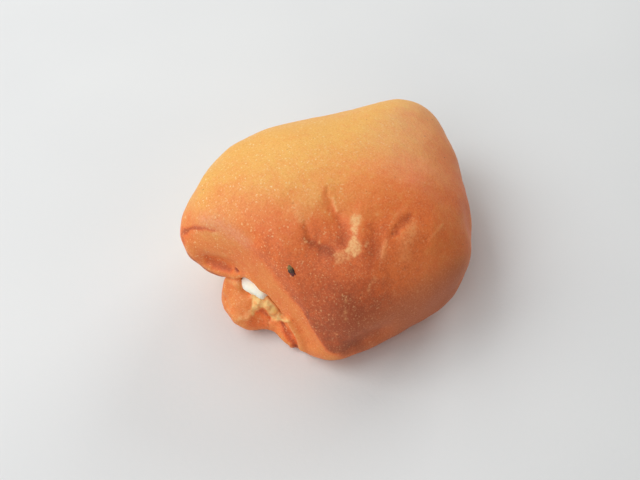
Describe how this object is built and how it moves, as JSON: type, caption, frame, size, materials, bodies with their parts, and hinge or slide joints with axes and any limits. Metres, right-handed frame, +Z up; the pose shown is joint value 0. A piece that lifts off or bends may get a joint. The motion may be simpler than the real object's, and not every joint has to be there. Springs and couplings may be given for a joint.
{
  "type": "cheese pastry bundle",
  "caption": "Soft baked dough bundle folded round white cheese, with a blunt overhanging lip, a small lower lip and cheese showing in the mouth.",
  "frame": {"origin": "on the surface it rests on, under the middle of the bounding box", "axes": "+Z up, the open mouth with the cheese faces -Y, the narrow back end points to +Y"},
  "size_m": [0.0851, 0.0974, 0.05],
  "materials": {
    "crust": "satin baked crust, golden to red brown",
    "cheese": "moist crumbly white cheese"
  },
  "bodies": {
    "root": {"dough": "crust", "cheese_filling": "cheese"}
  },
  "joints": []
}
